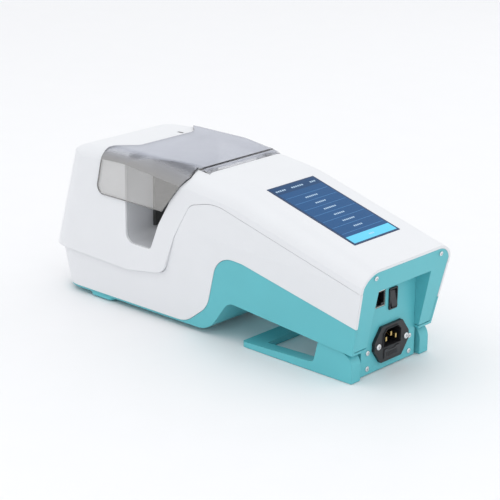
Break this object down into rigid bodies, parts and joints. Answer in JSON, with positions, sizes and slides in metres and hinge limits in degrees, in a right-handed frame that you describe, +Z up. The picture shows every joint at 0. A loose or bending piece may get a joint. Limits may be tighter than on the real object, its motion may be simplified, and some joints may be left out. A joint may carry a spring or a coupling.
{
  "type": "benchtop tubing sealer",
  "caption": "Bench-top tubing sealer with a crosswise tube channel and heated jaws under a clear hinged guard, a sloping touch screen, a swing-out stand and a fused mains inlet.",
  "frame": {"origin": "centre of the footprint at bench level, midway along the length and width", "axes": "+X from the sealing head to the rear connector panel, +Y to the left side seen from the rear panel looking at the head, +Z up"},
  "size_m": [0.411, 0.1342, 0.1618],
  "materials": {
    "white_shell": "smooth moulded, light gloss",
    "teal_shell": "smooth moulded, light gloss",
    "smoked_clear": "clear smoked sheet",
    "liner_grey": "fine matte moulding",
    "screen_glass": "glossy touch glass",
    "black_plastic": "fine matte black moulding",
    "jaw_black": "black non-stick coating",
    "steel": "ground steel",
    "chrome_screw": "bright plated",
    "aluminium": "milled aluminium",
    "brass_part": "turned brass",
    "rubber_foot": "matte rubber",
    "phenolic": "phenolic board",
    "ceramic_white": "unglazed ceramic",
    "circuit": "green circuit board"
  },
  "bodies": {
    "housing": {"top_shell": "white_shell", "lower_shell": "white_shell", "base_shell": "teal_shell", "rear_frame": "teal_shell", "rear_panel": "teal_shell", "front_feet": "teal_shell", "foot_pads": "rubber_foot", "stand_pivot_pins": "steel", "guard_hinge_pins": "steel", "hinge_ears": "white_shell", "status_window": "black_plastic", "guard_sensor": "black_plastic", "channel_liner": "liner_grey", "fixed_jaw": "jaw_black", "fixed_jaw_spacers": "ceramic_white", "jaw_tower": "aluminium", "jaw_bulkhead": "aluminium", "rod_bushes": "brass_part", "screw_bearing": "steel", "stepper_motor": "jaw_black", "motor_bracket": "aluminium", "tie_rods": "steel", "chassis_plate": "aluminium", "neck_deck": "aluminium", "base_screws": "chrome_screw", "deck_screws": "chrome_screw", "power_supply": "circuit", "controller_board": "circuit", "board_standoffs": "brass_part", "touch_glass": "screen_glass", "display_module": "black_plastic", "display_frame": "black_plastic", "buzzer": "black_plastic", "mains_inlet": "black_plastic", "inlet_pins": "brass_part", "inlet_screws": "chrome_screw", "power_switch_frame": "black_plastic", "network_jack_shell": "steel", "network_jack_insert": "black_plastic", "jack_contacts": "brass_part", "panel_screws": "chrome_screw", "frame_screws": "chrome_screw"},
    "guard": {"guard": "smoked_clear"},
    "stand": {"stand": "teal_shell", "stand_pads": "rubber_foot"},
    "jaw": {"moving_jaw": "jaw_black", "jaw_heaters": "steel", "jaw_insulator": "phenolic", "push_rods": "steel", "jaw_carriage": "aluminium", "lead_nut": "brass_part"},
    "screw": {"lead_screw": "steel", "shaft_coupler": "aluminium", "motor_shaft": "steel"},
    "fuse_drawer": {"fuse_drawer": "black_plastic", "fuses": "ceramic_white"},
    "rocker": {"power_rocker": "black_plastic"}
  },
  "joints": [
    {"name": "guard_hinge", "type": "hinge", "parent": "housing", "child": "guard", "pos_m": [0.003, 0, 0.1506], "axis": [0, 1, 0], "range_deg": [0, 65]},
    {"name": "stand_pivot", "type": "hinge", "parent": "housing", "child": "stand", "pos_m": [0.174, 0, 0.013], "axis": [0, 1, 0], "range_deg": [-28, 0]},
    {"name": "jaw_slide", "type": "slide", "parent": "housing", "child": "jaw", "axis": [-1, 0, 0], "range_m": [0, 0.036]},
    {"name": "screw_spin", "type": "hinge", "parent": "housing", "child": "screw", "pos_m": [0, 0, 0.095], "axis": [1, 0, 0], "range_deg": [0, 1621]},
    {"name": "fuse_drawer_slide", "type": "slide", "parent": "housing", "child": "fuse_drawer", "axis": [1, 0, 0], "range_m": [0, 0.018]},
    {"name": "power_rocker_tilt", "type": "hinge", "parent": "housing", "child": "rocker", "pos_m": [0.1845, 0.0037, 0.0657], "axis": [0, 1, 0], "range_deg": [0, 16]}
  ],
  "couplings": [
    {"joint": "screw_spin", "follows": "jaw_slide", "rad_per_m": 785.4}
  ]
}
